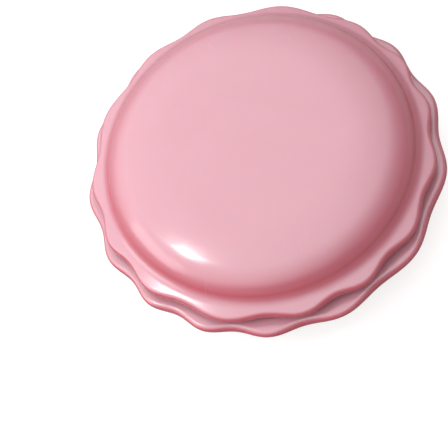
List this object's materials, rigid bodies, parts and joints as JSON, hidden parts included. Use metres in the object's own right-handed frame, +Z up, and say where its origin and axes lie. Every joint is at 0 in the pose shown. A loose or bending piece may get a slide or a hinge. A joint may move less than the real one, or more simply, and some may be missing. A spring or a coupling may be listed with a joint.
{
  "type": "magnetic pin cushion",
  "caption": "Round biscuit-shaped magnetic pin cushion: domed lid and shallow tray, both with scalloped rims, a pin groove between them and a ring magnet in the lid.",
  "frame": {"origin": "on the round axis, at the surface the feet stand on", "axes": "+Z up through the dome; -Y is the side that faces the viewer, +X to the viewer's right"},
  "size_m": [0.0795, 0.0795, 0.0261],
  "materials": {
    "pink_shell": "gloss",
    "ferrite": "dull sintered",
    "foam": "closed-cell foam",
    "white_cover": "fine matt",
    "screw_steel": "zinc plated",
    "felt": "pressed felt",
    "foot_rubber": "soft translucent grey"
  },
  "bodies": {
    "base": {"base_shell": "pink_shell", "tray_liner": "felt", "foot_pad_1": "foot_rubber", "foot_pad_2": "foot_rubber", "foot_pad_3": "foot_rubber", "foot_pad_4": "foot_rubber"},
    "lid": {"top_shell": "pink_shell", "ring_magnet": "ferrite", "magnet_foam_ring": "foam", "magnet_cover": "white_cover", "cover_screw_1": "screw_steel", "cover_screw_2": "screw_steel", "cover_screw_3": "screw_steel", "cover_screw_4": "screw_steel"}
  },
  "joints": [
    {"name": "lid_lift", "type": "slide", "parent": "base", "child": "lid", "axis": [0, 0, 1], "range_m": [0, 0.03]}
  ]
}
